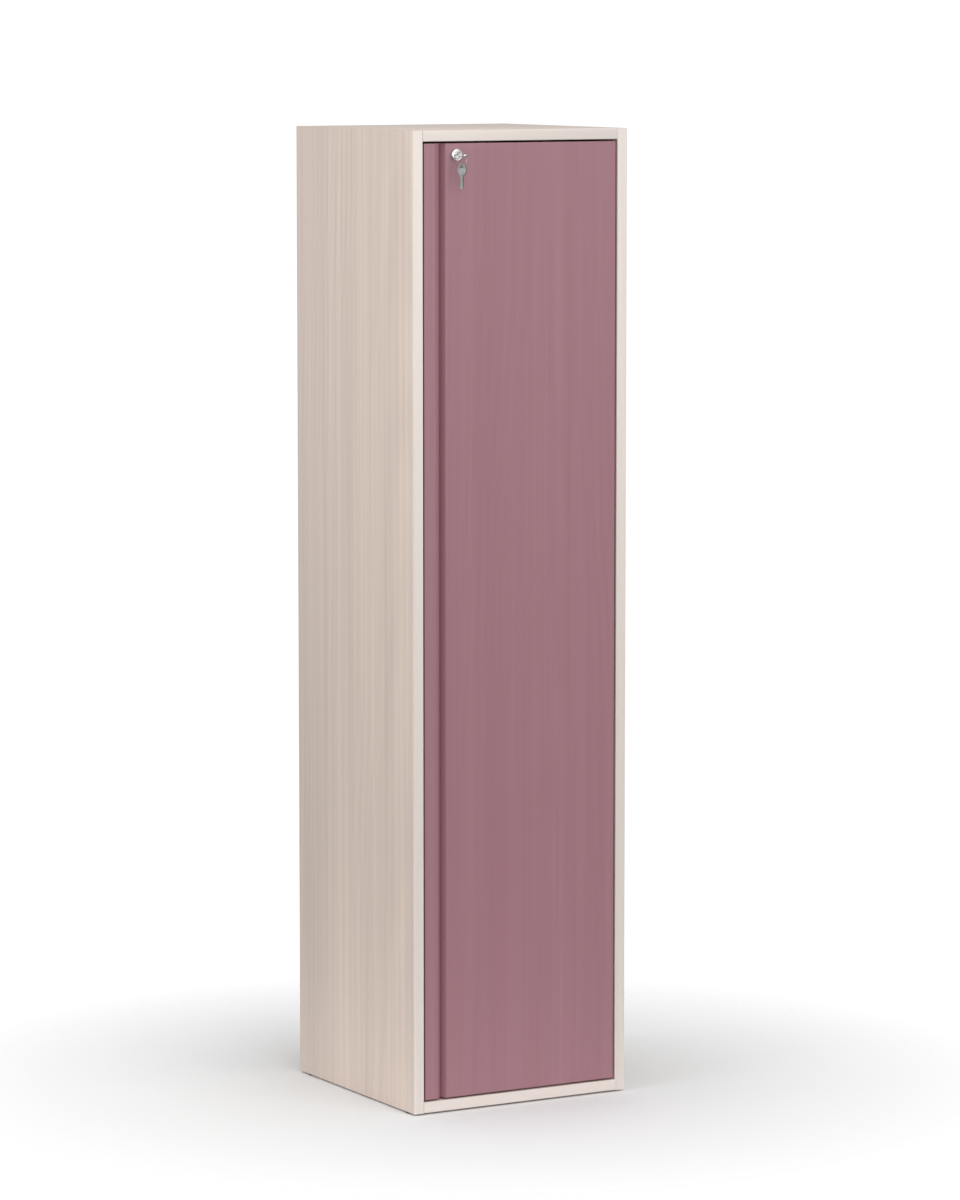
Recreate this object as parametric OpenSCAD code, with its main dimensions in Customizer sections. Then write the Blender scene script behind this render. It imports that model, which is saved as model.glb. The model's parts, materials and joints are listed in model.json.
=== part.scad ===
// Tall one-door locker cabinet: laminated board carcass, inset door with a milled finger
// grip, concealed cup hinges, a rim lock with its keys, a hat shelf and coat hooks.
// Millimetres. +Z is up, the front faces -Y and the origin is the middle of the footprint.

/* [Cabinet] */
// Width over the side panels
cabinet_w = 400; // [340:1:520]
// Depth from the front edges to the back edges
cabinet_d = 400; // [330:1:520]
// Height from the floor to the top
cabinet_h = 1600; // [1300:1:1950]
// Thickness of the board
board_t = 18; // [16:0.5:22]
// Thickness of the front edge bands
band_t = 2; // [1:0.1:3]
// Rounding of the front edge bands
band_r = 1.6; // [0.5:0.1:2]
// Height of the glides under the sides
glide_h = 3; // [2:0.5:8]
// Thickness of the back panel
back_t = 3; // [3:0.5:5]
// Clear height of the hat compartment above its shelf
hat_space = 314; // [250:1:500]

/* [Door] */
// Thickness of the door
door_t = 18; // [17:0.5:22]
// Gap round the door
door_gap = 3; // [2:0.1:4]
// How far the door's face is set back from the front edges
door_setback = 1.5; // [1:0.1:3]
// Rounding of the door's front edges
door_r = 1.6; // [0.5:0.1:2.5]
// Width of the flat strip left of the finger grip
grip_strip_w = 15; // [10:0.5:25]
// Width over which the grip curves down to its floor
grip_run = 19; // [15:0.5:24]
// Depth of the finger grip
grip_depth = 12; // [8:0.5:13]
// Slant of the grip's right wall
grip_slant = 5.5; // [2:0.5:8]

/* [Hinges] */
// Height of the lowest and highest hinge from the door's ends
hinge_end = 100; // [80:1:140]
// Diameter of the hinge cup
cup_d = 35; // [34:0.5:36]
// Depth of the hinge cup
cup_depth = 12; // [11.5:0.1:12.5]
// Diameter of the link pins
pin_d = 3; // [2.6:0.1:3.2]
// Clearance round a turning pin
pin_clear = 0.08; // [0.05:0.01:0.1]

/* [Lock and keys] */
// Diameter of the rosette
rosette_d = 20; // [19:0.5:24]
// How far the rosette stands out of the door
rosette_h = 5; // [3:0.5:6]
// Diameter of the plug
plug_d = 12; // [11:0.5:13]
// Distance of the lock's axis below the door's top edge
lock_drop = 18.5; // [18:0.5:22]
// Distance of the lock's axis from the finger grip's right edge
lock_inset = 19; // [18:0.5:30]
// Turn of the key above horizontal when unlocked, degrees
key_tilt = 12; // [0:1:20]
// Thickness of the keys
key_t = 2; // [1.8:0.1:2.2]
// Whole length of a key
key_l = 41; // [38:0.5:44]
// Depth of the blade in the plug
key_in = 14; // [12:0.5:16]
// Radius of the key ring, to the middle of the wire
ring_r = 8.8; // [8.6:0.1:9]
// Diameter of the key ring's wire
ring_wire = 1.3; // [1.1:0.1:1.4]

/* [Hidden] */

fine = 64;
small = 32;
eps = 0.01;
fit = 0.05;                       // radial play of glued and pressed round pieces

front_y = -cabinet_d / 2;
back_y = cabinet_d / 2;
side_x = cabinet_w / 2;
inner_x = side_x - board_t;
floor_z = glide_h + board_t;
ceiling_z = cabinet_h - board_t;

back_inset = 10;                  // back panel's rear face in front of the back edges
groove_depth = 8;
groove_play = 0.3;
groove_y = back_y - back_inset - back_t - groove_play;

// corner joints, measured along the depth and in from a horizontal panel's end
cam_d = 15;
cam_h = 12.5;
cam_reach = 34;
cam_edge = 60;
dowel_d = 8;
dowel_l = 30;
dowel_in_side = 11;
dowel_edge = 92;
cam_ys = [front_y + cam_edge, back_y - cam_edge];
dowel_ys = [front_y + dowel_edge, back_y - dowel_edge];
bolt_thread_d = 5;
bolt_thread_l = 11;
bolt_stem_d = 6;
bolt_head_d = 6.6;
bolt_hole_d = 7.2;
joint_zs = [glide_h + board_t / 2, cabinet_h - board_t / 2];

glide_in = 30;                    // from the front and back edges
glide_ys = [front_y + glide_in, back_y - glide_in];
glide_r = 7.5;
peg_d = 2.5;
peg_l = 12;

shelf_z = ceiling_z - hat_space - board_t;
shelf_front = front_y + 34;
shelf_back = groove_y - 2;
shelf_play = 0.5;
shelf_pin_d = 5;
shelf_pin_in = 9;
shelf_pin_out = 8;
shelf_pin_ys = [shelf_front + 40, shelf_back - 40];

door_w = 2 * (inner_x - door_gap);
door_left = -inner_x + door_gap;
door_bottom = floor_z + door_gap;
door_top = ceiling_z - door_gap;
door_h = door_top - door_bottom;
door_front = front_y + door_setback;
door_back = door_front + door_t;
grip_r = (pow(grip_run, 2) + pow(grip_depth, 2)) / (2 * grip_depth);
grip_right = grip_strip_w + grip_run + grip_slant;

// hinge pivots: x is measured from the side panel's inner face, y from the front edges;
// all of them keep their places from the door's edge and rear face
door_rear = door_setback + door_t;
arm_pivot_outer = [door_gap + 28, door_rear + 0.5];
cup_pivot_outer = [door_gap + 12.5, door_rear - 7.5];
bend_outer = [door_gap + 24, door_rear - 6.5];
arm_pivot_inner = [door_gap + 25, door_rear + 6.3];
cup_pivot_inner = [door_gap + 10.4, door_rear - 2.5];
bend_inner = [door_gap + 20, door_rear - 5.9];
cup_to_edge = 22;
cup_wall = 1;
cup_floor = 0.8;
cup_x = door_gap + cup_to_edge;
cup_front = door_rear - cup_depth;
cup_screw_spacing = 48;
cup_screw_back = 5.5;
cup_screw_head = 6;
cup_screw_d = 3.5;
cup_screw_l = 12;
cup_flange_t = 1.5;
notch_half = 8.5;                 // rim is open towards the hinge edge, where the links pass
notch_to = 9;                     // the opening ends this far from the cup's centre
notch_deep = 4;                   // and goes this far down the cup's wall
hinge_zs = [door_bottom + hinge_end, (door_bottom + door_top) / 2, door_top - hinge_end];
link_w = 3.6;
link_eye_r = 2.5;
bend_r = link_w / 2 + 0.1;
free_eye_r = 2.2;
free_pin_d = 2.2;
inner_half = 3;                   // inner link fills z from -inner_half to inner_half
nose_in = 3.3;                    // arm's two nose plates stand outside it
nose_t = 1.4;
outer_in = 5;                     // outer link's two cheeks stand outside the nose plates
outer_t = 1.6;
stub_gap = 0.5;
plate_y = door_rear + 18.5;
plate_len = 52;
plate_t = 4;
arm_x = 8;
arm_t = 3;
arm_half = 7;
plate_screw_spacing = 32;
plate_screw_head = 7;
plate_screw_d = 4;
plate_screw_l = 16;
arm_screw_ys = [plate_y + 16, plate_y + plate_len - 14];

lock_x = door_left + grip_right + lock_inset;
lock_z = door_top - lock_drop;
face_y = door_front - rosette_h;
lock_hole_d = 19;
case_w = 40;
case_up = lock_drop - 0.6;
case_down = case_w - case_up;
plate_thick = 1.2;
case_wall = 1.2;
cam_t = 1.8;
crank_r = 7.2;
crank_d = 3;
crank_start = -45;                // crank's angle when the key lies exactly level
drive = 7;                        // plug's square end, in the cam's square hole
drive_play = 0.1;
bolt_t = 4;
bolt_w = 16;
bolt_top = lock_drop - 0.4;
bolt_down = 14;
bolt_slot_play = 0.5;
bolt_slot_lift = 0.19;            // slot's middle above the unlocked crank
layer = 0.35;
cam_front = door_back + plate_thick + layer;
bolt_front = cam_front + cam_t + layer;
case_back = bolt_front + bolt_t + layer;
case_screw_x = 15.5;
case_screw_zs = [4.5 - case_down, case_up - 4.5];
case_screw_d = 3;
strike_w = 34;
strike_d = 12;
strike_t = 1.5;
strike_screw_x = 12.5;
strike_screw_head = 4.4;
strike_screw_d = 2.5;

bow_w = 16.6;
bow_l = 20;
key_hole_d = 6;
key_hole_in = 4.8;                // hole's centre in from the bow's end
blade_w = 6.6;
ring_shift = 4.6;
ring_drop = 7.1;
key_out = key_l - key_in;
ring_y = face_y - key_out + key_hole_in;
ring_x = lock_x - ring_shift;
ring_z = lock_z - ring_drop;
spare_turn = 30;
spare_hole_z = ring_z - ring_r - key_hole_d / 2 + ring_wire / 2 + 0.25;

stop_xs = [-60, 60];
stop_h = 11;
stop_size = [18, 16];
stop_peg_d = 3;
hook_z = shelf_z - 80;
hook_y = -20;
hook_plate = [2.5, 18, 50];
hook_d = 7;
hook_arm_l = 26;
hook_bend_r = 7;
hook_tip_l = 12;
hook_ball_d = 9;
hook_screw_head = 6;
hook_screw_d = 3;
hook_screw_zs = [hook_z - 16, hook_z + 16];

pale = [0.84, 0.80, 0.76];
edge_pale = [0.90, 0.87, 0.84];
mauve = [0.62, 0.48, 0.51];
zinc = [0.75, 0.75, 0.74];
steel = [0.62, 0.62, 0.60];
dark = [0.15, 0.14, 0.14];

// ---- outlines and small shapes ----

function arc(cx, cy, r, a0, a1, n = 8) =
    [for (i = [0:n]) let (a = a0 + (a1 - a0) * i / n) [cx + r * cos(a), cy + r * sin(a)]];

function ellipse_points(cx, cy, rx, ry, n = 48) =
    [for (i = [0:n - 1]) let (a = 360 * i / n) [cx + rx * cos(a), cy + ry * sin(a)]];

// rectangle w by t whose two corners on the y = 0 side are rounded
module fronted(w, t, r) {
    polygon(concat(arc(r, r, r, 180, 270), arc(w - r, r, r, 270, 360), [[w, t], [0, t]]));
}

// a fronted outline, drawn across depth and height, run along X from x0 for length w
module run_along_x(x0, w) {
    translate([x0, 0, 0]) rotate([90, 0, 90]) linear_extrude(w) children();
}

module fronted_bar(x0, w, y0, t, z0, h, r) {
    run_along_x(x0, w) translate([y0, z0 + h]) rotate(-90) fronted(h, t, r);
}

module rod(d, l) { cylinder(h = l, d = d, $fn = fine); }

// countersunk screw pointing up +Z with its head's flat face at z = 0
module screw(head_d, shank_d, l) {
    head_h = (head_d - shank_d) / 2;
    difference() {
        rotate_extrude($fn = small)
            polygon([[0, 0], [head_d / 2, 0], [head_d / 2, 0.3], [shank_d / 2, head_h + 0.3],
                     [shank_d / 2, l - shank_d / 2], [0.3, l], [0, l]]);
        for (a = [0, 90]) rotate(a) translate([-head_d * 0.28, -0.35, -eps])
            cube([head_d * 0.56, 0.7, head_d * 0.2]);
    }
}

module screw_hole(head_d, shank_d, l) {
    head_h = (head_d - shank_d) / 2;
    rotate_extrude($fn = small)
        polygon([[0, -1], [head_d / 2 + fit, -1], [head_d / 2 + fit, 0.35],
                 [shank_d / 2 + fit, head_h + 0.4], [shank_d / 2 + fit, l + 0.5], [0, l + 0.5]]);
}

module toward_left() { rotate([0, -90, 0]) children(); }
module toward_right() { rotate([0, 90, 0]) children(); }
module toward_back() { rotate([-90, 0, 0]) children(); }
module toward_front() { rotate([90, 0, 0]) children(); }

// ---- carcass ----

// everything that is drilled or milled into the left side panel; the right one mirrors it
module side_cuts_common() {
    for (z = joint_zs) {
        for (y = cam_ys) translate([-inner_x + eps, y, z]) toward_left()
            rod(bolt_thread_d + 2 * fit, bolt_thread_l + 0.5);
        for (y = dowel_ys) translate([-inner_x + eps, y, z]) toward_left()
            rod(dowel_d + 2 * fit, dowel_in_side + 0.5);
    }
    for (y = shelf_pin_ys) translate([-inner_x + eps, y, shelf_z - shelf_pin_d / 2]) toward_left()
        rod(shelf_pin_d + 2 * fit, shelf_pin_in + 0.3);
    for (z = hook_screw_zs) translate([-inner_x + eps, hook_y, z]) toward_left()
        rod(hook_screw_d + 2 * fit, 13);
    translate([-inner_x - groove_depth, groove_y, -eps])
        cube([groove_depth + eps, back_t + groove_play, cabinet_h + 1]);
}

module side_board() {
    difference() {
        translate([-side_x, front_y + band_t, glide_h])
            cube([board_t, cabinet_d - band_t, cabinet_h - glide_h]);
        side_cuts_common();
        for (y = glide_ys) translate([-side_x + board_t / 2, y, glide_h - eps])
            rod(peg_d + 2 * fit, peg_l + 0.5);
    }
}

module side_panel_left() { color(pale) side_board(); }

module side_panel_right() {
    color(pale) difference() {
        mirror([1, 0, 0]) side_board();
        for (z = hinge_zs) hinge_place(z) plate_screw_places()
            rod(plate_screw_d + 2 * fit, 14);
    }
}

module side_band(x0) {
    color(edge_pale) translate([x0, front_y, glide_h])
        linear_extrude(cabinet_h - glide_h) fronted(board_t, band_t, band_r);
}

module side_band_left() { side_band(-side_x); }
module side_band_right() { side_band(inner_x); }

// joints of one horizontal panel: cam pockets open downwards
module level_cuts(z0) {
    for (s = [-1, 1], y = cam_ys) {
        translate([s * (inner_x - cam_reach), y, z0 - eps]) rod(cam_d + 2 * fit, cam_h + 0.5);
        translate([s * (inner_x - cam_reach), y, z0 + board_t / 2]) rotate([0, s * 90, 0])
            rod(bolt_hole_d, cam_reach + eps);
    }
    for (s = [-1, 1], y = dowel_ys)
        translate([s * (inner_x + eps), y, z0 + board_t / 2]) rotate([0, -s * 90, 0])
            rod(dowel_d + 2 * fit, dowel_l - dowel_in_side + 1);
}

module level_board(z0) {
    translate([-inner_x, front_y + band_t, z0])
        cube([2 * inner_x, cabinet_d - band_t, board_t]);
}

module top_panel() {
    color(pale) difference() {
        level_board(ceiling_z);
        level_cuts(ceiling_z);
        translate([-inner_x - 1, groove_y, ceiling_z - eps])
            cube([2 * inner_x + 2, back_t + groove_play, groove_depth]);
        strike_mortise();
        translate([0, 0, ceiling_z - eps]) stop_places() rod(stop_peg_d + 2 * fit, 12.5);
    }
}

module bottom_panel() {
    color(pale) difference() {
        level_board(glide_h);
        level_cuts(glide_h);
        translate([-inner_x - 1, groove_y, floor_z - groove_depth])
            cube([2 * inner_x + 2, back_t + groove_play, groove_depth + eps]);
    }
}

module level_band(z0) {
    color(edge_pale) fronted_bar(-inner_x, 2 * inner_x, front_y, band_t, z0, board_t, band_r);
}

module top_band() { level_band(ceiling_z); }
module bottom_band() { level_band(glide_h); }

module back_panel() {
    tuck = groove_depth - 0.5;
    color(pale) translate([-inner_x - tuck, groove_y + groove_play / 2, floor_z - tuck])
        cube([2 * (inner_x + tuck), back_t, ceiling_z - floor_z + 2 * tuck]);
}

module hat_shelf() {
    w = 2 * (inner_x - shelf_play);
    color(pale) translate([-w / 2, shelf_front + band_t, shelf_z])
        cube([w, shelf_back - shelf_front - band_t, board_t]);
}

module shelf_band() {
    w = 2 * (inner_x - shelf_play);
    color(edge_pale) fronted_bar(-w / 2, w, shelf_front, band_t, shelf_z, board_t, band_r);
}

module shelf_pins() {
    color(zinc) for (s = [-1, 1], y = shelf_pin_ys) mirror([s > 0 ? 1 : 0, 0, 0])
        translate([-inner_x - shelf_pin_in, y, shelf_z - shelf_pin_d / 2]) toward_right() {
            rod(shelf_pin_d, shelf_pin_in + shelf_pin_out);
        }
}

module cam_discs() {
    color(zinc) for (z = joint_zs, s = [-1, 1], y = cam_ys)
        translate([s * (inner_x - cam_reach), y, z - board_t / 2 + 0.2]) difference() {
            rod(cam_d, cam_h);
            translate([0, 0, board_t / 2 - 0.2]) rotate([0, s * 90, 0]) rod(bolt_hole_d, cam_d);
            for (a = [45, 135]) rotate(a) translate([-4, -0.6, -eps]) cube([8, 1.2, 2]);
        }
}

module cam_bolts() {
    color(zinc) for (z = joint_zs, s = [-1, 1], y = cam_ys)
        translate([s * (inner_x + bolt_thread_l), y, z]) rotate([0, -s * 90, 0]) {
            rotate_extrude($fn = small) polygon([[0, 0], [bolt_thread_d / 2, 0],
                [bolt_thread_d / 2, bolt_thread_l + 0.3], [bolt_stem_d / 2, bolt_thread_l + 0.3],
                [bolt_stem_d / 2, bolt_thread_l + cam_reach - 5], [2, bolt_thread_l + cam_reach - 4],
                [2, bolt_thread_l + cam_reach - 2.5], [bolt_head_d / 2, bolt_thread_l + cam_reach - 2],
                [bolt_head_d / 2, bolt_thread_l + cam_reach], [0, bolt_thread_l + cam_reach]]);
        }
}

module dowels() {
    color([0.80, 0.66, 0.46]) for (z = joint_zs, s = [-1, 1], y = dowel_ys)
        translate([s * (inner_x + dowel_in_side), y, z]) rotate([0, -s * 90, 0])
            rod(dowel_d, dowel_l);
}

module glides() {
    color(dark) for (s = [-1, 1], y = glide_ys)
        translate([s * (side_x - board_t / 2), y, 0]) {
            rotate_extrude($fn = fine) polygon([[0, 0], [glide_r - 1.5, 0], [glide_r, 0.8],
                [glide_r, glide_h], [0, glide_h]]);
            translate([0, 0, glide_h]) rod(peg_d, peg_l);
        }
}

// two buffers under the top panel that the closed door rests on
module stop_places() {
    for (x = stop_xs) translate([x, door_back + 8, 0]) children();
}

module door_stops() {
    color(dark) stop_places() {
        translate([-stop_size[0] / 2, -7.6, ceiling_z - stop_h])
            cube([stop_size[0], stop_size[1], stop_h]);
        translate([0, 0, ceiling_z - eps]) rod(stop_peg_d, 12);
    }
}

// coat hook on a plate, drawn on the left side panel: an arm, a bend up and a ball
module coat_hook() {
    t = hook_plate[0];
    arm_end = t + hook_arm_l;
    arm_z = hook_z + 2;
    tip_x = arm_end + hook_bend_r;
    tip_z = arm_z + hook_bend_r;
    translate([-inner_x, hook_y, 0]) {
        difference() {
            translate([0, -hook_plate[1] / 2, hook_z - hook_plate[2] / 2]) cube(hook_plate);
            for (z = hook_screw_zs) translate([t + eps, 0, z]) toward_left()
                screw_hole(hook_screw_head, hook_screw_d, 2.6);
        }
        translate([t, 0, arm_z]) toward_right() rod(hook_d, hook_arm_l);
        translate([arm_end, 0, tip_z]) rotate([90, 0, 0]) rotate([0, 0, -90])
            rotate_extrude(angle = 90, $fn = small) translate([hook_bend_r, 0])
                circle(d = hook_d, $fn = small);
        translate([tip_x, 0, tip_z]) rod(hook_d, hook_tip_l);
        translate([tip_x, 0, tip_z + hook_tip_l]) sphere(d = hook_ball_d, $fn = small);
    }
}

module coat_hook_left() { color(zinc) coat_hook(); }
module coat_hook_right() { color(zinc) mirror([1, 0, 0]) coat_hook(); }

module hook_screws() {
    color(zinc) for (s = [0, 1], z = hook_screw_zs) mirror([s, 0, 0])
        translate([-inner_x + hook_plate[0], hook_y, z]) toward_left()
            screw(hook_screw_head, hook_screw_d, 15);
}

// ---- door ----

// outline seen from above, x from the door's left edge and y from its face
module door_outline() {
    fillet = 1.5;
    slope = atan2(grip_depth, grip_slant);
    half = (180 - slope) / 2;
    cx = grip_right + fillet / tan(half);
    bottom_a = asin(grip_run / grip_r);
    polygon(concat(
        arc(door_r, door_r, door_r, 180, 270),
        arc(grip_strip_w, grip_r, grip_r, -90, -90 + bottom_a, 20),
        arc(cx, fillet, fillet, 270 - slope, 270),
        arc(door_w - door_r, door_r, door_r, 270, 360),
        [[door_w, door_t], [0, door_t]]));
}

module door_panel() {
    color(mauve) difference() {
        intersection() {
            translate([door_left, door_front, door_bottom]) linear_extrude(door_h) door_outline();
            fronted_bar(door_left - 1, door_w + 2, door_front, door_t, door_bottom, door_h, door_r);
        }
        for (z = hinge_zs) hinge_place(z) {
            translate([cup_x, cup_front - 0.2, 0]) toward_back()
                rod(cup_d + 2 * fit, cup_depth + 1);
            cup_screw_places() rod(cup_screw_d + 2 * fit, cup_screw_l);
        }
        translate([lock_x, door_front - 1, lock_z]) toward_back() rod(lock_hole_d, door_t + 2);
        lock_screw_places() translate([0, 0, -1]) rod(case_screw_d + 2 * fit, 13);
    }
}

// ---- hinges: local x runs from the side panel into the opening, y runs back ----

module hinge_place(z) { translate([inner_x, front_y, z]) mirror([1, 0, 0]) children(); }

// moves its children to p, a point in the hinge's x and y
module at(p, z = 0) { translate([p[0], p[1], z]) children(); }

module plate_screw_places() {
    for (z = [-plate_screw_spacing / 2, plate_screw_spacing / 2])
        translate([eps, plate_y + plate_len / 2, z]) toward_left() children();
}

module cup_screw_places() {
    for (z = [-cup_screw_spacing / 2, cup_screw_spacing / 2])
        translate([cup_x + cup_screw_back, door_rear + eps, z]) toward_front() children();
}

module hinge_cup() {
    back = door_rear;
    difference() {
        union() {
            translate([cup_x, cup_front, 0]) toward_back() rod(cup_d, cup_depth);
            translate([cup_x, back, 0]) toward_back() rod(cup_d + 4, cup_flange_t);
            translate([cup_x, back, -cup_screw_spacing / 2 - 6])
                cube([cup_screw_back + 6, cup_flange_t, cup_screw_spacing + 12]);
        }
        translate([cup_x, cup_front + cup_floor, 0]) toward_back()
            rod(cup_d - 2 * cup_wall, cup_depth + 5);
        translate([0, back - notch_deep, -notch_half])
            cube([cup_x - notch_to, notch_deep + cup_flange_t + 1, 2 * notch_half]);
        at(cup_pivot_outer, -cup_d / 2) rod(pin_d + 2 * fit, cup_d);
        at(cup_pivot_inner, -cup_d / 2) rod(free_pin_d + 2 * fit, cup_d);
        for (z = [-cup_screw_spacing / 2, cup_screw_spacing / 2])
            translate([cup_x + cup_screw_back, back + cup_flange_t, z]) toward_front()
                screw_hole(cup_screw_head, cup_screw_d, 4);
    }
}

// how far along z a pin of diameter d at p reaches inside the cup's outside
function cup_reach(p, d) = sqrt(pow(cup_d / 2 - 0.1, 2) - pow(cup_x - p[0] + d / 2, 2));

// stubs from both sides of the cup, which leave the middle to the inner link
module cup_pins() {
    stubs = [
        [cup_pivot_outer, pin_d, outer_in - 0.1],
        [cup_pivot_inner, free_pin_d, outer_in + outer_t + stub_gap]
    ];
    color(steel) for (z = hinge_zs, stub = stubs) hinge_place(z) {
        l = cup_reach(stub[0], stub[1]) - stub[2];
        for (z0 = [-stub[2] - l, stub[2]]) at(stub[0], z0) rod(stub[1], l);
    }
}

module cup_screws() {
    color(zinc) for (z = hinge_zs) hinge_place(z)
        translate([0, cup_flange_t - eps, 0]) cup_screw_places()
            screw(cup_screw_head, cup_screw_d, cup_screw_l);
}

// flat bar of the given width from p to q, with round ends, lying in the z band
module bar(p, q, w, z0, t) {
    d = q - p;
    l = norm(d);
    a = atan2(d[1], d[0]);
    translate([p[0], p[1], z0]) rotate(a) {
        translate([0, -w / 2, 0]) cube([l, w, t]);
        cylinder(h = t, d = w, $fn = small);
        translate([l, 0, 0]) cylinder(h = t, d = w, $fn = small);
    }
}

module eye(p, r, z0, t) { translate([p[0], p[1], z0]) cylinder(h = t, r = r, $fn = small); }

// outline of a straight web from p to q
module web(p, q) {
    d = q - p;
    translate(p) rotate(atan2(d[1], d[0])) translate([0, -link_w / 2]) square([norm(d), link_w]);
}

// cranked link from its cup end over the bend to its arm end, in the z band from z0
module cranked_link(cup_end, bend, arm_end, cup_r, arm_r, z0, t) {
    translate([0, 0, z0]) linear_extrude(t) {
        web(cup_end, bend);
        web(bend, arm_end);
        translate(cup_end) circle(r = cup_r, $fn = small);
        translate(bend) circle(r = bend_r, $fn = small);
        translate(arm_end) circle(r = arm_r, $fn = small);
    }
}

// a pair of cheeks outside the arm's nose plates
module hinge_outer_link() {
    for (z0 = [-outer_in - outer_t, outer_in]) difference() {
        cranked_link(cup_pivot_outer, bend_outer, arm_pivot_outer,
            link_eye_r, link_eye_r, z0, outer_t);
        for (p = [cup_pivot_outer, arm_pivot_outer]) at(p, z0 - 1)
            rod(pin_d + 2 * pin_clear, outer_t + 2);
    }
}

// one link between the nose plates; its cup end carries a short pin and is left open
module hinge_inner_link() {
    t = 2 * inner_half;
    difference() {
        union() {
            cranked_link(cup_pivot_inner, bend_inner, arm_pivot_inner,
                free_eye_r, link_eye_r + 0.3, -inner_half, t);
            for (z0 = [-inner_half - 0.4, inner_half - 0.5]) at(cup_pivot_inner, z0)
                rod(free_pin_d, 0.9);
        }
        at(arm_pivot_inner, -inner_half - 1) rod(pin_d + 2 * pin_clear, t + 2);
    }
}

module hinge_arm() {
    difference() {
        union() {
            for (s = [-1, 1]) {
                z0 = s > 0 ? nose_in : -nose_in - nose_t;
                eye(arm_pivot_outer, link_eye_r + 0.2, z0, nose_t);
                bar(arm_pivot_outer, arm_pivot_inner, 5, z0, nose_t);
                bar(arm_pivot_inner, [arm_x + 3, plate_y + 3], 6, z0, nose_t);
            }
            translate([arm_x, plate_y, -arm_half]) cube([arm_t, plate_len - 4, 2 * arm_half]);
            translate([arm_x, plate_y, -nose_in - nose_t])
                cube([arm_t + 2, 8, 2 * (nose_in + nose_t)]);
        }
        for (p = [arm_pivot_outer, arm_pivot_inner]) at(p, -arm_half - 1)
            rod(pin_d + 2 * fit, 2 * arm_half + 2);
        for (y = arm_screw_ys)
            translate([arm_x - 1, y, 0]) toward_right() rod(5.2, arm_t + 5);
    }
}

// a whole pin for the inner link, and a riveted stub on each nose plate for the outer one
module arm_pins() {
    inner_reach = nose_in + nose_t;
    outer_l = outer_in + outer_t + stub_gap - nose_in;
    color(steel) for (z = hinge_zs) hinge_place(z) {
        at(arm_pivot_inner, -inner_reach) rod(pin_d, 2 * inner_reach);
        for (z0 = [-nose_in - outer_l, nose_in]) at(arm_pivot_outer, z0) rod(pin_d, outer_l);
    }
}

module hinge_plate() {
    mid = plate_y + plate_len / 2;
    difference() {
        union() {
            translate([0, plate_y + 4, -arm_half]) cube([arm_x, plate_len - 8, 2 * arm_half]);
            translate([0, mid - 8, -plate_screw_spacing / 2 - 7])
                cube([plate_t, 16, plate_screw_spacing + 14]);
        }
        plate_screw_places() translate([0, 0, -plate_t])
            screw_hole(plate_screw_head, plate_screw_d, 6);
        for (y = arm_screw_ys)
            translate([1, y, 0]) toward_right() rod(4 + 2 * fit, arm_x);
    }
}

module plate_screws() {
    color(zinc) for (z = hinge_zs) hinge_place(z)
        translate([plate_t - eps, 0, 0]) plate_screw_places()
            screw(plate_screw_head, plate_screw_d, plate_screw_l);
}

module arm_screws() {
    color(zinc) for (z = hinge_zs, y = arm_screw_ys) hinge_place(z)
        translate([arm_x + arm_t, y, 0]) {
            translate([-9.5, 0, 0]) toward_right() rod(4, 9.5);
            toward_right() difference() {
                rod(7, 2);
                for (a = [0, 90]) rotate(a) translate([-2, -0.4, 1]) cube([4, 0.8, 2]);
            }
        }
}

module hinge_cup_n(i) { color(zinc) hinge_place(hinge_zs[i]) hinge_cup(); }
module hinge_arm_n(i) { color(zinc) hinge_place(hinge_zs[i]) hinge_arm(); }
module hinge_plate_n(i) { color(zinc) hinge_place(hinge_zs[i]) hinge_plate(); }
module hinge_outer_link_n(i) { color(steel) hinge_place(hinge_zs[i]) hinge_outer_link(); }
module hinge_inner_link_n(i) { color(steel) hinge_place(hinge_zs[i]) hinge_inner_link(); }

// ---- lock: the frame of the lock's axis, with the key's turn when asked ----

module lock_place(turn = 0) { translate([lock_x, 0, lock_z]) rotate([0, -turn, 0]) children(); }

module lock_rosette() {
    neck_d = lock_hole_d - 0.4;
    neck_l = 9;
    bore = plug_d / 2 + pin_clear;
    color(zinc) lock_place() translate([0, face_y, 0]) toward_back()
        rotate_extrude($fn = fine) polygon([
            [bore, 0], [rosette_d / 2 - 1.2, 0], [rosette_d / 2 - 0.35, 0.35],
            [rosette_d / 2, 1.2], [rosette_d / 2, rosette_h], [neck_d / 2, rosette_h],
            [neck_d / 2, rosette_h + neck_l], [bore, rosette_h + neck_l]]);
}

module lock_plug() {
    color(zinc) lock_place(key_tilt) difference() {
        union() {
            translate([0, face_y - 0.3, 0]) toward_back() rod(plug_d, cam_front - face_y + 0.25);
            translate([-drive / 2, cam_front - 0.1, -drive / 2])
                cube([drive, cam_t + 0.1, drive]);
        }
        translate([-blade_w / 2 - 0.2, face_y - 1, -key_t / 2 - 0.15])
            cube([blade_w + 0.4, key_in + 3, key_t + 0.3]);
    }
}

module lock_cam() {
    hole = drive + drive_play;
    color(steel) lock_place(key_tilt) difference() {
        union() {
            translate([0, cam_front, 0]) toward_back() rod(2 * crank_r + crank_d + 2, cam_t);
            rotate([0, -crank_start, 0]) translate([crank_r, cam_front + cam_t - eps, 0])
                toward_back() rod(crank_d, bolt_t + layer);
        }
        translate([-hole / 2, cam_front - 1, -hole / 2]) cube([hole, cam_t + 2, hole]);
    }
}

module lock_screw_places() {
    for (sx = [-1, 1], z = case_screw_zs)
        translate([lock_x + sx * case_screw_x, door_back, lock_z + z]) toward_front() children();
}

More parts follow.
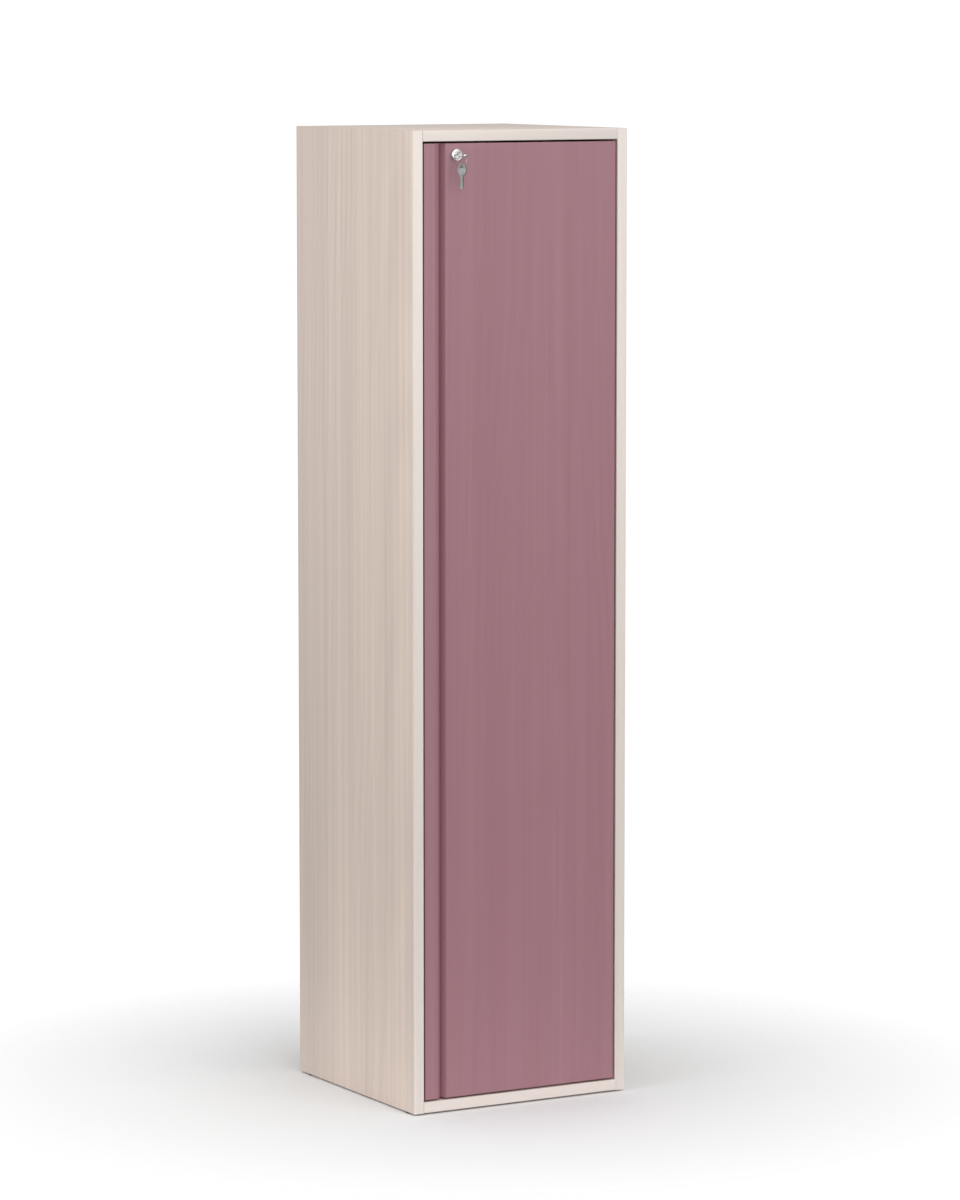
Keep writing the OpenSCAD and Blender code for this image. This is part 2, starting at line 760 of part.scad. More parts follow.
module lock_base_plate() {
    color(zinc) difference() {
        translate([lock_x - case_w / 2, door_back, lock_z - case_down])
            cube([case_w, plate_thick, case_w]);
        lock_place() translate([0, door_back - 1, 0]) toward_back() rod(plug_d + 0.5, 4);
        lock_screw_places() translate([0, 0, -5]) rod(case_screw_d + 0.3, 8);
    }
}

module lock_case() {
    y0 = door_back + plate_thick;
    depth = case_back + case_wall - y0;
    color(zinc) difference() {
        union() {
            difference() {
                translate([lock_x - case_w / 2, y0, lock_z - case_down])
                    cube([case_w, depth, case_w]);
                translate([lock_x - case_w / 2 + case_wall, y0 - 1, lock_z - case_down + case_wall])
                    cube([case_w - 2 * case_wall, depth - case_wall + 1, case_w - 2 * case_wall]);
            }
            for (sx = [-1, 1], z = case_screw_zs)
                translate([lock_x + sx * case_screw_x, y0, lock_z + z]) toward_back()
                    rod(7.5, depth - case_wall / 2);
            for (sx = [-1, 1])
                translate([lock_x + sx * (bolt_w / 2 + layer + 0.6) - 0.6, bolt_front,
                    lock_z + case_up - 9]) cube([1.2, bolt_t + layer + case_wall / 2, 8.5]);
        }
        translate([lock_x - bolt_w / 2 - layer, bolt_front - layer, lock_z + case_up - 3])
            cube([bolt_w + 2 * layer, bolt_t + 2 * layer, 8]);
        lock_screw_places() translate([0, 0, -depth - 3]) rod(case_screw_d + 0.3, depth + 8);
    }
}

module lock_screws() {
    y = case_back + case_wall - door_back;
    color(zinc) lock_screw_places() translate([0, 0, -y]) {
        translate([0, 0, -1.6]) difference() {
            rod(5.6, 1.6);
            for (a = [0, 90]) rotate(a) translate([-1.8, -0.35, -eps]) cube([3.6, 0.7, 0.9]);
        }
        rod(case_screw_d, y + 11);
    }
}

// the crank works in the bolt's slot, which is open to the side
module lock_bolt() {
    rest_a = crank_start + key_tilt;
    slot_z = crank_r * sin(rest_a) + bolt_slot_lift;
    slot_x = crank_r * cos(crank_start);
    half = crank_d / 2 + bolt_slot_play;
    color(zinc) difference() {
        translate([lock_x - bolt_w / 2, bolt_front, lock_z - bolt_down])
            cube([bolt_w, bolt_t, bolt_down + bolt_top]);
        translate([lock_x + slot_x - half - 0.3, bolt_front - 1, lock_z + slot_z - half])
            cube([bolt_w, bolt_t + 2, 2 * half]);
    }
}

module strike_mortise() {
    translate([lock_x - strike_w / 2 - 0.1, bolt_front - 4 - 0.1, ceiling_z - eps])
        cube([strike_w + 0.2, strike_d + 0.2, strike_t + eps + 0.02]);
    translate([lock_x - bolt_w / 2 - 1, bolt_front - 1, ceiling_z])
        cube([bolt_w + 2, bolt_t + 2, 10]);
    for (s = [-1, 1]) translate([lock_x + s * strike_screw_x, bolt_front + bolt_t / 2, ceiling_z])
        rod(strike_screw_d + 2 * fit, 12);
}

module strike_plate() {
    color(zinc) difference() {
        translate([lock_x - strike_w / 2, bolt_front - 4, ceiling_z])
            cube([strike_w, strike_d, strike_t]);
        translate([lock_x - bolt_w / 2 - 0.6, bolt_front - 0.6, ceiling_z - 1])
            cube([bolt_w + 1.2, bolt_t + 1.2, strike_t + 2]);
        for (s = [-1, 1]) translate([lock_x + s * strike_screw_x, bolt_front + bolt_t / 2, ceiling_z])
            screw_hole(strike_screw_head, strike_screw_d, 3);
    }
}

module strike_screws() {
    color(zinc) for (s = [-1, 1]) translate([lock_x + s * strike_screw_x, bolt_front + bolt_t / 2, ceiling_z])
        screw(strike_screw_head, strike_screw_d, 11);
}

// ---- keys: flat in x and y, the hole's centre at the origin and the blade towards +y ----

module key_shape() {
    bow_c = bow_l / 2 - key_hole_in;
    blade_end = key_l - key_hole_in;
    difference() {
        union() {
            polygon(ellipse_points(0, bow_c, bow_w / 2, bow_l / 2));
            polygon([[-blade_w / 2, bow_c], [blade_w / 2, bow_c],
                [blade_w / 2, blade_end - 12], [blade_w / 2 - 1.2, blade_end - 11],
                [blade_w / 2 - 0.4, blade_end - 9.5], [blade_w / 2 - 1.6, blade_end - 7.5],
                [blade_w / 2 - 0.7, blade_end - 5.5], [blade_w / 2 - 1.5, blade_end - 4],
                [blade_w / 2 - 1, blade_end - 2.5], [0.8, blade_end], [-0.8, blade_end],
                [-blade_w / 2, blade_end - 2.5]]);
        }
        circle(d = key_hole_d, $fn = fine);
    }
}

module key_plate() { translate([0, 0, -key_t / 2]) linear_extrude(key_t) key_shape(); }

module main_key() {
    color(steel) translate([lock_x, ring_y, lock_z]) rotate([0, -key_tilt, 0]) key_plate();
}

module key_ring() {
    color(zinc) translate([ring_x, ring_y, ring_z]) toward_back()
        rotate_extrude($fn = fine) translate([ring_r, 0]) circle(d = ring_wire, $fn = small);
}

module spare_key() {
    color(steel) translate([ring_x, ring_y, spare_hole_z]) rotate([0, 0, spare_turn])
        rotate([0, 90, 0]) rotate([0, 0, -90]) key_plate();
}

side_panel_left();
side_panel_right();
top_panel();
bottom_panel();
back_panel();
hat_shelf();
side_band_left();
side_band_right();
top_band();
bottom_band();
shelf_band();
cam_discs();
cam_bolts();
dowels();
shelf_pins();
glides();
door_stops();
coat_hook_left();
coat_hook_right();
hook_screws();
door_panel();
hinge_cup_n(0);  // hinge_cup_1
hinge_cup_n(1);  // hinge_cup_2
hinge_cup_n(2);  // hinge_cup_3
hinge_arm_n(0);  // hinge_arm_1
hinge_arm_n(1);  // hinge_arm_2
hinge_arm_n(2);  // hinge_arm_3
hinge_plate_n(0);  // hinge_plate_1
hinge_plate_n(1);  // hinge_plate_2
hinge_plate_n(2);  // hinge_plate_3
hinge_outer_link_n(0);  // hinge_outer_link_1
hinge_outer_link_n(1);  // hinge_outer_link_2
hinge_outer_link_n(2);  // hinge_outer_link_3
hinge_inner_link_n(0);  // hinge_inner_link_1
hinge_inner_link_n(1);  // hinge_inner_link_2
hinge_inner_link_n(2);  // hinge_inner_link_3
cup_pins();
arm_pins();
cup_screws();
plate_screws();
arm_screws();
lock_rosette();
lock_base_plate();
lock_case();
lock_screws();
lock_plug();
lock_cam();
lock_bolt();
strike_plate();
strike_screws();
main_key();
key_ring();
spare_key();
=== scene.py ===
import json
import math

import bmesh
import bpy
from mathutils import Euler, Matrix, Vector


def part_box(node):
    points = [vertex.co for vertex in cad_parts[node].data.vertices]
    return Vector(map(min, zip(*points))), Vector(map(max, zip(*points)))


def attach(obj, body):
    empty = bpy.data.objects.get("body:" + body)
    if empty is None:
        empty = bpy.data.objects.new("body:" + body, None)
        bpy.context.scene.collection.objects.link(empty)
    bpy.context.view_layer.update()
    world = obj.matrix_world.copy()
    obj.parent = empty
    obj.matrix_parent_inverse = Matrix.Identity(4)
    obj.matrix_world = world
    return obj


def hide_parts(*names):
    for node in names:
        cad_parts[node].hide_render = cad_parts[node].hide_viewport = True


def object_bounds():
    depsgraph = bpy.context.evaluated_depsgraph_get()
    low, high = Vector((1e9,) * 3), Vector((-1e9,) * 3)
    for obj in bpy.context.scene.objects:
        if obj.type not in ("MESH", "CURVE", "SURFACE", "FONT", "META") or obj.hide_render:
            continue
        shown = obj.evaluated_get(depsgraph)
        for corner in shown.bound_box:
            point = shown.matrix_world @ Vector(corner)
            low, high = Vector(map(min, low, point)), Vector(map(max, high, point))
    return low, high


bl_info = {
    "name": "Locker Cabinet",
    "version": (1, 0, 0),
    "blender": (4, 5, 0),
    "location": "View3D > Sidebar > Locker",
    "description": "Finishes a one-door locker cabinet and sets its studio stage",
    "category": "Object",
}

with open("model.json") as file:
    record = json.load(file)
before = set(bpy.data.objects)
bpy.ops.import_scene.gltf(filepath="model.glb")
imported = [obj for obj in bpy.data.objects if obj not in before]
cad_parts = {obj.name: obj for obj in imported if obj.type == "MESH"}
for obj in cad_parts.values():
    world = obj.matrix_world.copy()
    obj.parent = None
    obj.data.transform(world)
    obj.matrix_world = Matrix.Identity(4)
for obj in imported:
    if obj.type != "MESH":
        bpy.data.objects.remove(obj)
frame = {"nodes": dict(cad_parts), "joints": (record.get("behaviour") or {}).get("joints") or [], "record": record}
cad_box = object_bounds()

BODY_OF_NODE = {
    node: body
    for body, nodes in frame["record"]["behaviour"]["bodies"].items()
    for node in nodes
}
JOINTS = {joint["name"]: joint for joint in frame["joints"]}


def tint(red, green, blue):
    """A colour given from 0 to 255 as it shows on a screen, as the linear one the shaders use."""
    return tuple(
        c / 12.92 if c <= 0.04045 else ((c + 0.055) / 1.055) ** 2.4
        for c in (red / 255, green / 255, blue / 255)
    )


def opaque(colour):
    return (*tuple(colour)[:3], 1.0)


def shade(colour, factor):
    """The same colour, lighter or darker."""
    return tuple(min(1.0, c * factor) for c in tuple(colour)[:3])


# ---- settings ----


class LOCKER_PG_sizes(bpy.types.PropertyGroup):
    board_ease: bpy.props.FloatProperty(
        name="Board arris", description="Rounding of the boards' cut edges",
        default=0.0004, min=0.0, max=0.002, precision=4, subtype="DISTANCE", unit="LENGTH")
    metal_ease: bpy.props.FloatProperty(
        name="Metal arris", description="Rounding of the edges of stamped metal",
        default=0.0002, min=0.0, max=0.001, precision=4, subtype="DISTANCE", unit="LENGTH")
    key_thickness: bpy.props.FloatProperty(
        name="Key thickness", description="Thickness of a key's bow",
        default=0.002, min=0.001, max=0.003, precision=4, subtype="DISTANCE", unit="LENGTH")
    key_hole: bpy.props.FloatProperty(
        name="Key hole", description="Diameter of the hole in a key's bow",
        default=0.006, min=0.003, max=0.008, precision=4, subtype="DISTANCE", unit="LENGTH")
    blade_width: bpy.props.FloatProperty(
        name="Blade width", description="Width of a key's blade",
        default=0.0066, min=0.004, max=0.008, precision=4, subtype="DISTANCE", unit="LENGTH")
    key_tilt: bpy.props.FloatProperty(
        name="Key tilt", description="Turn of the unlocked key above the horizontal",
        default=math.radians(12), min=0.0, max=math.radians(20), subtype="ANGLE", unit="ROTATION")
    spare_turn: bpy.props.FloatProperty(
        name="Spare key turn", description="How far the hanging key is turned from the front",
        default=math.radians(30), min=0.0, max=math.radians(60), subtype="ANGLE", unit="ROTATION")


class LOCKER_PG_finish(bpy.types.PropertyGroup):
    laminate: bpy.props.FloatVectorProperty(
        name="Laminate", description="Main colour of the carcass boards",
        default=tint(227, 210, 198), min=0.0, max=1.0, size=3, subtype="COLOR")
    band: bpy.props.FloatVectorProperty(
        name="Edge band", description="Colour of the front edge bands",
        default=tint(236, 226, 219), min=0.0, max=1.0, size=3, subtype="COLOR")
    foil: bpy.props.FloatVectorProperty(
        name="Door foil", description="Main colour of the wrapped door",
        default=tint(165, 122, 131), min=0.0, max=1.0, size=3, subtype="COLOR")
    core: bpy.props.FloatVectorProperty(
        name="Board core", description="Colour of the raw particle board",
        default=tint(186, 153, 112), min=0.0, max=1.0, size=3, subtype="COLOR")
    hardboard: bpy.props.FloatVectorProperty(
        name="Hardboard", description="Colour of the raw face of the back panel",
        default=tint(142, 104, 72), min=0.0, max=1.0, size=3, subtype="COLOR")
    figure: bpy.props.FloatProperty(
        name="Grain strength", description="Contrast of the printed wood grain",
        default=1.0, min=0.0, max=2.0, subtype="FACTOR")


class LOCKER_PG_stage(bpy.types.PropertyGroup):
    azimuth: bpy.props.FloatProperty(
        name="Camera azimuth", description="Camera's direction round the cabinet",
        default=math.radians(29.764), subtype="ANGLE", unit="ROTATION")
    pitch: bpy.props.FloatProperty(
        name="Camera pitch", description="How far the camera looks down",
        default=math.radians(6.623), subtype="ANGLE", unit="ROTATION")
    distance: bpy.props.FloatProperty(
        name="Camera distance", description="Distance from the camera to the cabinet's middle",
        default=8.3446, min=1.0, subtype="DISTANCE", unit="LENGTH")
    lens: bpy.props.FloatProperty(
        name="Focal length", description="Focal length on a 36 mm sensor",
        default=150.345, min=20.0, subtype="DISTANCE_CAMERA")
    key_energy: bpy.props.FloatProperty(
        name="Key light", description="Power of the large front softbox in watts",
        default=44.0, min=0.0)
    top_energy: bpy.props.FloatProperty(
        name="Top light", description="Power of the overhead softbox in watts",
        default=48.0, min=0.0)
    high_energy: bpy.props.FloatProperty(
        name="High lights", description="Power in watts of each of the two high near softboxes",
        default=22.0, min=0.0)
    sky: bpy.props.FloatProperty(
        name="Room light", description="Strength of the even light from all round",
        default=0.54, min=0.0)


# ---- shader maths ----


class Value:
    """A socket that can be added, multiplied and so on, each time with a Math node."""

    def __init__(self, graph, socket):
        self.graph = graph
        self.socket = socket

    def _math(self, operation, first, second):
        node = self.graph.node("ShaderNodeMath", {"operation": operation}, {0: first, 1: second})
        return Value(self.graph, node.outputs[0])

    def __add__(self, other):
        return self._math("ADD", self, other)

    def __sub__(self, other):
        return self._math("SUBTRACT", self, other)

    def __rsub__(self, other):
        return self._math("SUBTRACT", other, self)

    def __mul__(self, other):
        return self._math("MULTIPLY", self, other)

    def __pow__(self, other):
        return self._math("POWER", self, other)

    __radd__ = __add__
    __rmul__ = __mul__

    def sine(self):
        return self._math("SINE", self, 0.0)

    def above(self, limit):
        return self._math("GREATER_THAN", self, limit)

class Graph:
    """One material's nodes."""

    def __init__(self, name):
        self.material = bpy.data.materials.new(name)
        self.material.use_nodes = True
        self.tree = self.material.node_tree
        self.shader = self.tree.nodes["Principled BSDF"]

    def node(self, kind, settings=None, sockets=None):
        made = self.tree.nodes.new(kind)
        for name, value in (settings or {}).items():
            setattr(made, name, value)
        for key, value in (sockets or {}).items():
            self.put(made.inputs[key], value)
        return made

    def put(self, socket, value):
        if isinstance(value, Value):
            self.tree.links.new(value.socket, socket)
        else:
            socket.default_value = value

    def value(self, node, output=0):
        return Value(self, node.outputs[output])

    def place(self):
        """Object coordinates."""
        return self.value(self.node("ShaderNodeTexCoord"), "Object")

    def mapped(self, vector, scale=(1, 1, 1), location=(0, 0, 0), rotation=(0, 0, 0)):
        return self.value(self.node("ShaderNodeMapping", None, {
            "Vector": vector, "Scale": scale, "Location": location, "Rotation": rotation}))

    def parts(self, vector):
        node = self.node("ShaderNodeSeparateXYZ", None, {0: vector})
        return [self.value(node, i) for i in range(3)]

    def noise(self, vector, scale=1.0, detail=2.0, roughness=0.5, distortion=0.0):
        return self.value(self.node("ShaderNodeTexNoise", None, {
            "Vector": vector, "Scale": scale, "Detail": detail, "Roughness": roughness,
            "Distortion": distortion}))

    def cells(self, vector, scale):
        return self.node("ShaderNodeTexVoronoi", None, {"Vector": vector, "Scale": scale})

    def ranged(self, value, low, high, to_low=0.0, to_high=1.0):
        """The value moved from one range to another and held inside it."""
        return self.value(self.node("ShaderNodeMapRange", {"clamp": True}, {
            "Value": value, "From Min": low, "From Max": high,
            "To Min": to_low, "To Max": to_high}))

    def mix(self, factor, first, second):
        node = self.node("ShaderNodeMix", {"data_type": "RGBA"}, {
            0: factor,
            6: first if isinstance(first, Value) else opaque(first),
            7: second if isinstance(second, Value) else opaque(second)})
        return self.value(node, 2)

    def bump(self, height, distance, strength=1.0):
        return self.value(self.node("ShaderNodeBump", None, {
            "Height": height, "Distance": distance, "Strength": strength}))

    def finish(self, constants=None, **links):
        """Sets the shader's sockets; a name's underscores stand for spaces."""
        for name, value in (constants or {}).items():
            self.shader.inputs[name].default_value = value
        for name, value in links.items():
            self.put(self.shader.inputs[name.replace("_", " ")], value)
        return self.material


GRAIN_TURN = {
    "Z": (0.0, 0.0, 0.0),
    "X": (0.0, math.radians(-90), 0.0),
    "Y": (math.radians(90), 0.0, 0.0),
}


def wood_tones(graph, along, contrast, shift, ring_centre):
    """Tone, and height for the bump, of a printed wood grain that runs along one axis."""
    spot = graph.mapped(graph.place(), location=shift, rotation=GRAIN_TURN[along])
    wander = graph.noise(graph.mapped(spot, (9, 9, 1.6)), detail=2.0)
    streaks = graph.noise(graph.mapped(spot, (95, 95, 0.8)), detail=3.0, roughness=0.6)
    broad = graph.noise(graph.mapped(spot, (22, 22, 0.7)), detail=1.0)
    fibre = graph.noise(graph.mapped(spot, (620, 620, 7)), detail=2.0, roughness=0.6)
    pores = graph.ranged(graph.noise(graph.mapped(spot, (1500, 1500, 45)), detail=1.0), 0.60, 0.70)
    x, y, z = graph.parts(spot)
    dx = x - ring_centre[0]
    dy = y - ring_centre[1]
    radius = (dx * dx + dy * dy) ** 0.5
    rings = ((radius + z * 0.032 + wander * 0.030) * 560.0).sine()
    figured = graph.ranged(wander, 0.42, 0.62)
    tone = (
        0.5
        + (streaks - 0.5) * (1.15 * contrast)
        + (broad - 0.5) * (0.9 * contrast)
        + (fibre - 0.5) * (0.45 * contrast)
        + rings * figured * (0.10 * contrast)
        - pores * (0.16 * contrast)
    )
    return tone, fibre * 0.6 + rings * 0.1 - pores * 0.7


WOOD_ROUGHNESS = 0.42
DARK_STREAK = 0.80
LIGHT_STREAK = 1.13


def wood(name, along, base, contrast, warm, shift=(0, 0, 0), ring_centre=(0.05, -0.06)):
    """Wood-grain laminate or foil; warm holds one tint for dark streaks and one for light."""
    graph = Graph(name)
    tone, height = wood_tones(graph, along, contrast, shift, ring_centre)
    dark = [c * f for c, f in zip(shade(base, DARK_STREAK), warm[0])]
    light = [min(1.0, c * f) for c, f in zip(shade(base, LIGHT_STREAK), warm[1])]
    colour = graph.mix(graph.ranged(tone, 0.0, 1.0), dark, light)
    patches = graph.noise(graph.mapped(graph.place(), (14, 14, 3)), detail=2.0)
    rough = WOOD_ROUGHNESS + (patches - 0.5) * 0.10 - tone * 0.05
    return graph, colour, rough, height


def raw_edge(graph, colour, core, behind):
    """Shows bare particle board where Y is above behind."""
    spot = graph.place()
    mask = graph.parts(spot)[1].above(behind)
    cells = graph.cells(graph.mapped(spot, (1, 1, 0.5)), 520.0)
    flake = graph.noise(spot, 900.0, 2.0)
    chips = graph.mix(graph.ranged(graph.value(cells, "Distance"), 0.1, 0.8),
                      shade(core, 0.62), shade(core, 1.12))
    chips = graph.mix(flake, chips, core)
    return graph.mix(mask, colour, chips), mask


def laminate_material(name, along, settings, shift, raw_from=None):
    graph, colour, rough, height = wood(
        name, along, settings.laminate, 0.80 * settings.figure,
        ((0.985, 0.99, 1.01), (1.0, 1.0, 0.99)), shift)
    if raw_from is not None:
        colour, mask = raw_edge(graph, colour, settings.core, raw_from)
        rough = rough + mask * 0.35
    normal = graph.bump(height, 0.00006, 0.35)
    return graph.finish({"Specular IOR Level": 0.45}, Base_Color=colour, Roughness=rough,
                        Normal=normal)


def band_material(name, along, settings, shift):
    graph, colour, rough, height = wood(
        name, along, settings.band, 0.34 * settings.figure,
        ((1.0, 0.985, 0.985), (1.0, 1.0, 1.0)), shift)
    return graph.finish({"Specular IOR Level": 0.5}, Base_Color=colour, Roughness=rough,
                        Normal=graph.bump(height, 0.00004, 0.3))


def foil_material(settings):
    graph, colour, rough, height = wood(
        "mauve foil", "Z", settings.foil, 0.50 * settings.figure,
        ((1.02, 0.93, 0.95), (0.99, 1.03, 1.02)), (0.31, 0.17, 0.4), (0.36, 0.09))
    hue = graph.noise(graph.mapped(graph.place(), (60, 60, 1.1), (3.1, 0.4, 1.7)), detail=2.0)
    colour = graph.mix(graph.ranged(hue, 0.38, 0.66, 0.0, 0.42), colour,
                       shade((settings.foil[0] * 1.02, settings.foil[1] * 0.90,
                              settings.foil[2] * 0.94), 0.97))
    return graph.finish({"Specular IOR Level": 0.45}, Base_Color=colour, Roughness=rough,
                        Normal=graph.bump(height, 0.00006, 0.4))


def back_panel_material(settings, middle):
    """A plain pale face inside and bare hardboard behind."""
    graph, colour, rough, height = wood(
        "back panel", "Z", settings.laminate, 0.4 * settings.figure,
        ((0.99, 0.99, 1.0), (1.0, 1.0, 1.0)), (0.7, 0.2, 0.1))
    spot = graph.place()
    behind = graph.parts(spot)[1].above(middle)
    fibres = graph.noise(graph.mapped(spot, (160, 160, 120)), 1.0, 5.0, 0.7, 0.6)
    mottle = graph.noise(spot, 14.0, 3.0)
    screen = graph.noise(spot, 1400.0, 1.0)
    board = graph.mix(graph.ranged(fibres, 0.3, 0.7), shade(settings.hardboard, 0.78),
                      shade(settings.hardboard, 1.18))
    board = graph.mix(graph.ranged(mottle, 0.35, 0.7, 0.0, 0.35), board,
                      shade(settings.hardboard, 1.3))
    return graph.finish(
        {"Specular IOR Level": 0.4}, Base_Color=graph.mix(behind, colour, board),
        Roughness=rough + behind * 0.3,
        Normal=graph.bump(height * (1.0 - behind) + screen * behind * 1.4, 0.00012, 0.4))


def metal_material(name, colour, roughness, brushed=(1, 1, 1), wear=0.25, grit=0.06):
    """Plated or drawn metal with fine brushing, dulled patches and hairline scratches."""
    graph = Graph(name)
    spot = graph.place()
    brush = graph.noise(graph.mapped(spot, tuple(1800 * b for b in brushed)), 1.0, 2.0)
    dull = graph.noise(spot, 130.0, 3.0, 0.6)
    scratch = graph.ranged(
        graph.noise(graph.mapped(spot, (300, 2600, 500), rotation=(0.4, 0.7, 0.5)), 1.0, 2.0),
        0.66, 0.74)
    tone = graph.mix(graph.ranged(dull, 0.35, 0.75, 0.0, wear), colour, shade(colour, 0.72))
    tone = graph.mix(scratch * 0.25, tone, shade(colour, 1.1))
    rough = roughness + (brush - 0.5) * grit * 2.0 + (dull - 0.5) * 0.16 + scratch * 0.08
    return graph.finish({"Metallic": 1.0}, Base_Color=tone, Roughness=graph.ranged(
        rough, 0.0, 1.0), Normal=graph.bump(brush, 0.00001, 0.3))


def plastic_material(name, colour, roughness):
    """Moulded plastic with a fine spark-eroded skin."""
    graph = Graph(name)
    spot = graph.place()
    grain = graph.noise(spot, 2600.0, 2.0)
    patch = graph.noise(spot, 90.0, 3.0)
    return graph.finish(
        {"Specular IOR Level": 0.5},
        Base_Color=graph.mix(patch, shade(colour, 0.85), shade(colour, 1.25)),
        Roughness=roughness + (patch - 0.5) * 0.15, Normal=graph.bump(grain, 0.00004, 0.5))


# ---- pieces ----


def add_piece(name, mesh, material, body, nodes):
    """Puts a finished mesh in the scene in place of its frame nodes, riding on their body."""
    piece = bpy.data.objects.new(name, mesh)
    bpy.context.scene.collection.objects.link(piece)
    mesh.materials.clear()
    mesh.materials.append(material)
    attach(piece, body)
    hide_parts(*nodes)
    return piece


def smooth_mesh(bm, name, angle=32.0):
    mesh = bpy.data.meshes.new(name)
    bm.to_mesh(mesh)
    bm.free()
    mesh.polygons.foreach_set("use_smooth", [True] * len(mesh.polygons))
    mesh.set_sharp_from_angle(angle=math.radians(angle))
    mesh.update()
    return mesh


def bevel(bm, edges, width, segments=2):
    bmesh.ops.bevel(bm, geom=edges, offset=width, offset_type="OFFSET", segments=segments,
                    profile=0.5, affect="EDGES", clamp_overlap=True, material=-1)


def sharp_edges(bm, angle=50.0, shortest=0.0):
    return [
        e for e in bm.edges
        if len(e.link_faces) == 2 and e.calc_length() >= shortest
        and e.calc_face_angle(0.0) > math.radians(angle) and e.is_convex
    ]


def eased(node, width, shortest, angle=50.0):
    """A copy of a frame node with its triangles joined and its outer edges eased."""
    bm = bmesh.new()
    bm.from_mesh(frame["nodes"][node].data)
    bmesh.ops.remove_doubles(bm, verts=bm.verts, dist=2e-6)
    bmesh.ops.dissolve_limit(bm, angle_limit=math.radians(0.4), use_dissolve_boundaries=False,
                             verts=bm.verts, edges=bm.edges)
    edges = sharp_edges(bm, angle, shortest)
    if edges:
        bevel(bm, edges, width)
    return smooth_mesh(bm, node + " eased")


def eased_piece(name, node, material, width, shortest):
    return add_piece(name, eased(node, width, shortest), material, BODY_OF_NODE[node], [node])


def paint(material, *nodes):
    """Gives frame nodes a material."""
    for node in nodes:
        data = frame["nodes"][node].data
        data.materials.clear()
        data.materials.append(material)


def turned(profile, steps=64):
    """A closed shape turned about the Y axis from (radius, y) points."""
    bm = bmesh.new()
    points = [bm.verts.new((radius, y, 0.0)) for radius, y in profile]
    edges = [bm.edges.new(pair) for pair in zip(points, points[1:] + points[:1])]
    bmesh.ops.spin(bm, geom=points + edges, cent=(0, 0, 0), axis=(0, 1, 0), dvec=(0, 0, 0),
                   angle=math.tau, steps=steps, use_merge=True)
    bmesh.ops.remove_doubles(bm, verts=bm.verts, dist=1e-7)
    bmesh.ops.recalc_face_normals(bm, faces=bm.faces)
    return bm


class LOCKER_OT_boards(bpy.types.Operator):
    """Finishes the carcass boards with their wood-grain laminate and raw rear edges"""

    bl_idname = "locker.boards"
    bl_label = "Boards"
    bl_options = {"REGISTER", "UNDO"}

    def execute(self, context):
        finish = context.scene.locker_finish
        ease = context.scene.locker_sizes.board_ease
        back = cad_box[1].y - 0.0002
        boards = [
            ("board_side_left", "side_panel_left", "Z", (0.0, 0.11, 0.2)),
            ("board_side_right", "side_panel_right", "Z", (0.4, 0.33, 0.9)),
            ("board_top", "top_panel", "X", (0.2, 0.5, 0.1)),
            ("board_bottom", "bottom_panel", "X", (0.6, 0.1, 0.7)),
            ("board_hat_shelf", "hat_shelf", "X", (0.1, 0.8, 0.3)),
        ]
        for name, node, along, shift in boards:
            raw_from = None if node == "hat_shelf" else back
            material = laminate_material(name + " laminate", along, finish, shift, raw_from)
            eased_piece(name, node, material, ease, 0.012)
        low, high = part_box("back_panel")
        paint(back_panel_material(finish, (low.y + high.y) / 2), "back_panel")
        return {"FINISHED"}


class LOCKER_OT_edge_bands(bpy.types.Operator):
    """Finishes the front edge bands, with the grain along each"""

    bl_idname = "locker.edge_bands"
    bl_label = "Edge bands"
    bl_options = {"REGISTER", "UNDO"}

    def execute(self, context):
        finish = context.scene.locker_finish
        ease = context.scene.locker_sizes.board_ease
        for node, along, shift in (
                ("side_band_left", "Z", (0.2, 0.1, 0.0)), ("side_band_right", "Z", (0.5, 0.3, 0.4)),
                ("top_band", "X", (0.3, 0.0, 0.6)), ("bottom_band", "X", (0.9, 0.2, 0.1)),
                ("shelf_band", "X", (0.1, 0.7, 0.5))):
            material = band_material(node.replace("_", " "), along, finish, shift)
            eased_piece("edge_" + node, node, material, ease, 0.012)
        return {"FINISHED"}


class LOCKER_OT_door(bpy.types.Operator):
    """Wraps the door and its milled finger grip in wood-grain foil"""

    bl_idname = "locker.door"
    bl_label = "Door"
    bl_options = {"REGISTER", "UNDO"}

    def execute(self, context):
        eased_piece("door_leaf", "door_panel", foil_material(context.scene.locker_finish),
                    context.scene.locker_sizes.board_ease, 0.015)
        return {"FINISHED"}


class LOCKER_OT_fittings(bpy.types.Operator):
    """Finishes the joint fittings, glides, stops, shelf pins and screws"""

    bl_idname = "locker.fittings"
    bl_label = "Fittings"
    bl_options = {"REGISTER", "UNDO"}

    def execute(self, context):
        zinc = metal_material("zinc plate", tint(196, 198, 200), 0.32)
        black = plastic_material("black plastic", tint(34, 33, 34), 0.5)
        beech, colour, rough, height = wood(
            "beech dowel", "X", tint(214, 178, 130), 0.6, ((1, 0.98, 0.95), (1, 1, 1)))
        beech.finish(Base_Color=colour, Roughness=rough, Normal=beech.bump(height, 0.0001, 0.4))
        paint(beech.material, "dowels")
        paint(zinc, "cam_discs", "cam_bolts", "shelf_pins", "hook_screws", "plate_screws",
              "arm_screws", "cup_screws", "lock_screws", "strike_screws")
        paint(black, "glides", "door_stops")
        eased_piece("strike", "strike_plate", zinc, 0.00015, 0.008)
        return {"FINISHED"}


class LOCKER_OT_hooks(bpy.types.Operator):
    """Finishes the two coat hooks in satin metal with eased edges"""

    bl_idname = "locker.hooks"
    bl_label = "Coat hooks"
    bl_options = {"REGISTER", "UNDO"}

    def execute(self, context):
        satin = metal_material("satin metal", tint(190, 190, 192), 0.38, (1, 1, 0.2))
        for side in ("left", "right"):
            node = "coat_hook_" + side
            eased_piece("hook_" + side, node, satin, 0.0006, 0.002)
        return {"FINISHED"}


